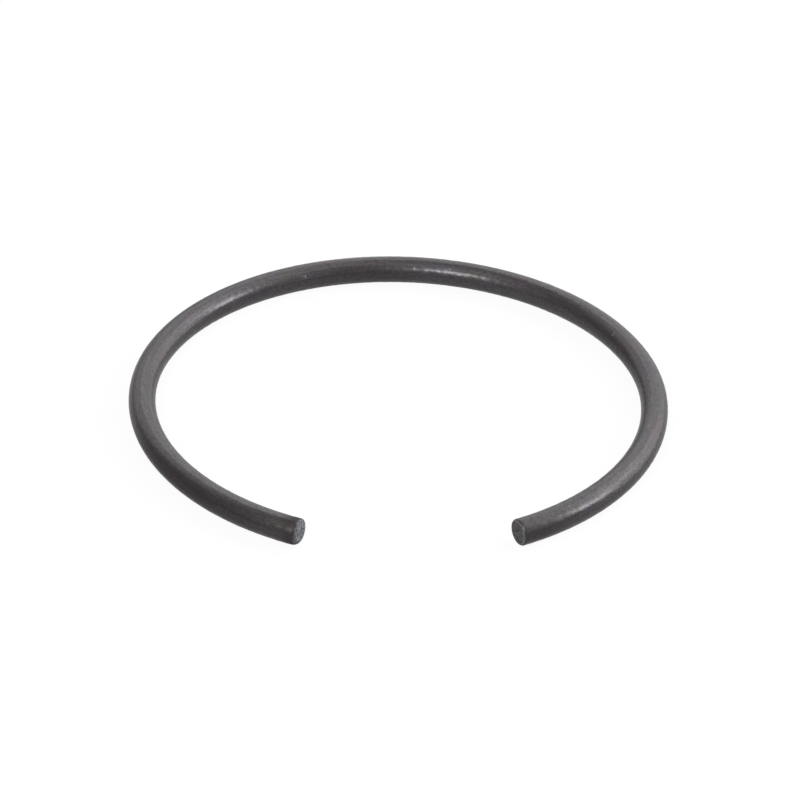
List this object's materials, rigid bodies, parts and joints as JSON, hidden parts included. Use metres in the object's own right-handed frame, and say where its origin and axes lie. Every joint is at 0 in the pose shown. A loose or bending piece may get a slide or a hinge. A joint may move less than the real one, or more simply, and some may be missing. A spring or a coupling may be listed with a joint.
{
  "type": "circlip retaining ring",
  "caption": "Open ring of round blackened spring wire that springs outwards into a groove in a bore, and keeps what is behind it from sliding out.",
  "frame": {"origin": "the centre of the unloaded ring, on the axis of the groove it seats in, halfway through the wire", "axes": "+Z along the ring's axis, with the ring lying flat in the XY plane; the gap between the cropped ends is in the middle of the -Y side; +X to the right, seen from the gap side"},
  "size_m": [0.0494, 0.048, 0.0024],
  "materials": {
    "blackened_wire": "satin, dark grey phosphate and oil on drawn spring steel"
  },
  "bodies": {
    "root": {"snap_ring": "blackened_wire"}
  },
  "joints": []
}
